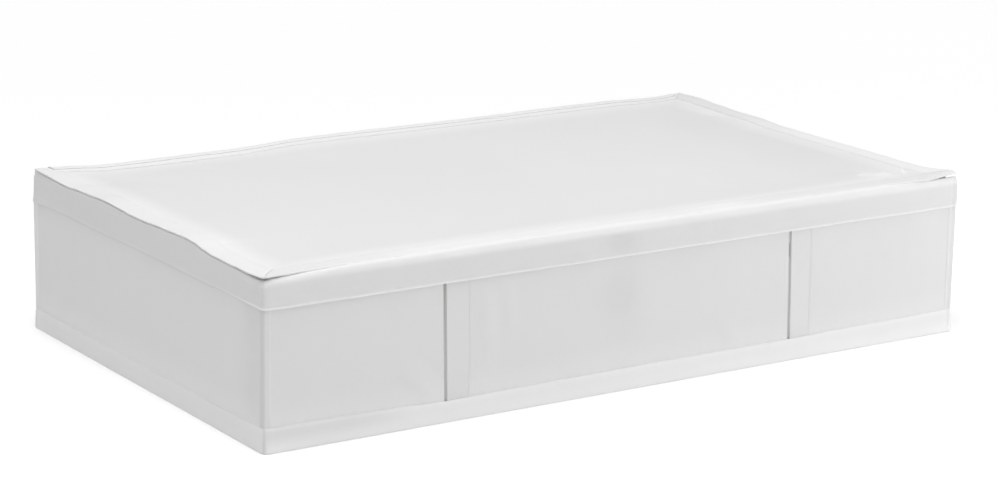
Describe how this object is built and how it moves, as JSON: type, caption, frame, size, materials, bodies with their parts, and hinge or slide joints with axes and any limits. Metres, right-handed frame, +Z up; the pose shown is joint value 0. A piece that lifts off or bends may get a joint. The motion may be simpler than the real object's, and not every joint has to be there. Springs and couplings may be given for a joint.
{
  "type": "under bed box",
  "caption": "Low rectangular under-bed storage case of white cloth stiffened by boards, with a cloth lid zipped along the front and both ends that folds back along the rear edge.",
  "frame": {"origin": "middle of the footprint, on the floor", "axes": "+X along the long side towards the end that carries the parked slider, -Y towards the zipped front with its two pocket slits, +Z up"},
  "size_m": [0.93, 0.55, 0.19],
  "materials": {
    "shell_cloth": "matte",
    "trim_cloth": "matte",
    "lining_cloth": "matte",
    "stiffener_board": "matte",
    "zip_tape": "matte",
    "zip_coil": "satin",
    "zip_metal": "satin"
  },
  "bodies": {
    "case": {"base_skin": "shell_cloth", "base_board_left": "stiffener_board", "base_board_middle": "stiffener_board", "base_board_right": "stiffener_board", "base_lining": "lining_cloth", "front_pocket_left": "shell_cloth", "front_pocket_middle": "shell_cloth", "front_pocket_right": "shell_cloth", "front_fold_left": "trim_cloth", "front_fold_right": "trim_cloth", "front_board_left": "stiffener_board", "front_board_middle": "stiffener_board", "front_board_right": "stiffener_board", "front_lining": "lining_cloth", "front_band": "shell_cloth", "front_hem": "trim_cloth", "back_pocket_left": "shell_cloth", "back_pocket_middle": "shell_cloth", "back_pocket_right": "shell_cloth", "back_fold_left": "trim_cloth", "back_fold_right": "trim_cloth", "back_board_left": "stiffener_board", "back_board_middle": "stiffener_board", "back_board_right": "stiffener_board", "back_lining": "lining_cloth", "back_band": "shell_cloth", "back_hem": "trim_cloth", "left_skin": "shell_cloth", "left_board": "stiffener_board", "left_lining": "lining_cloth", "left_band": "shell_cloth", "left_hem": "trim_cloth", "right_skin": "shell_cloth", "right_board": "stiffener_board", "right_lining": "lining_cloth", "right_band": "shell_cloth", "right_hem": "trim_cloth", "corner_front_left": "trim_cloth", "corner_front_right": "trim_cloth", "corner_back_left": "trim_cloth", "corner_back_right": "trim_cloth", "hinge_strip": "trim_cloth", "zip_tape_wall": "zip_tape", "zip_coil_wall": "zip_coil", "zip_end_tabs": "trim_cloth", "zip_bottom_stop": "zip_metal", "zip_top_stop_wall": "zip_metal"},
    "lid": {"lid_panel": "shell_cloth", "lid_border_front": "trim_cloth", "lid_border_back": "trim_cloth", "lid_border_left": "trim_cloth", "lid_border_right": "trim_cloth", "zip_tape_lid": "zip_tape", "zip_coil_lid": "zip_coil", "zip_top_stop_lid": "zip_metal"},
    "slider": {"slider_body": "zip_metal"},
    "pull": {"pull_tab": "zip_metal"}
  },
  "joints": [
    {"name": "lid_fold", "type": "hinge", "parent": "case", "child": "lid", "pos_m": [0, 0.2728, 0.18825], "axis": [-1, 0, 0], "range_deg": [0, 199]},
    {"name": "slider_run", "type": "slide", "parent": "case", "child": "slider", "axis": [0, -1, 0], "range_m": [0, 0.495]},
    {"name": "pull_swing", "type": "hinge", "parent": "slider", "child": "pull", "pos_m": [0.46345, 0.2506, 0.1834], "axis": [0, -1, 0], "range_deg": [0, 150]}
  ]
}
